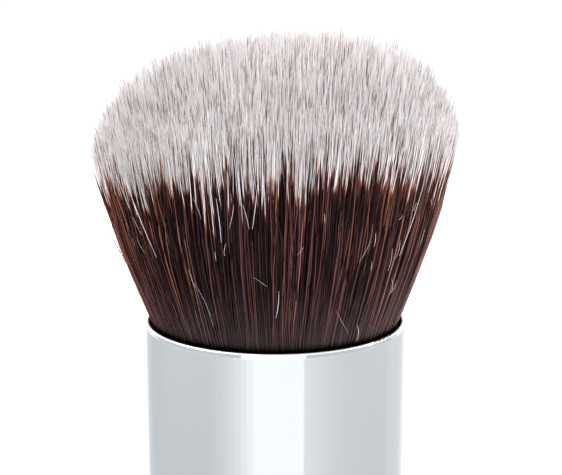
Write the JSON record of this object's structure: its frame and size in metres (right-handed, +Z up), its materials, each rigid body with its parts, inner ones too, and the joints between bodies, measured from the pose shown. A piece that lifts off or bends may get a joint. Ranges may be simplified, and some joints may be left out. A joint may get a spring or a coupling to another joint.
{
  "type": "kabuki makeup brush",
  "caption": "Short domed kabuki makeup brush: two-tone fibre head glued into a polished ferrule on a weighted waisted handle.",
  "frame": {"origin": "centre of the base cap's lower face, on the surface the brush stands on", "axes": "+Z up through the handle and the ferrule to the crown of the fibres; the brush is round about Z"},
  "size_m": [0.038, 0.038, 0.0782],
  "materials": {
    "dyed_fibre": "dark brown dyed synthetic fibre, slightly glossy",
    "white_fibre": "undyed white fibre tips, soft sheen",
    "binding_thread": "waxed cotton thread",
    "cast_epoxy": "cast amber epoxy",
    "polished_aluminium": "drawn and polished to a near mirror",
    "black_gloss": "moulded black, high gloss",
    "turned_steel": "turned, left bare",
    "black_satin": "moulded black, satin"
  },
  "bodies": {
    "root": {"tuft_body": "dyed_fibre", "tuft_tips": "white_fibre", "root_tie": "binding_thread", "root_resin": "cast_epoxy", "ferrule": "polished_aluminium", "handle_shell": "black_gloss", "balance_weight": "turned_steel", "base_cap": "black_satin"}
  },
  "joints": []
}
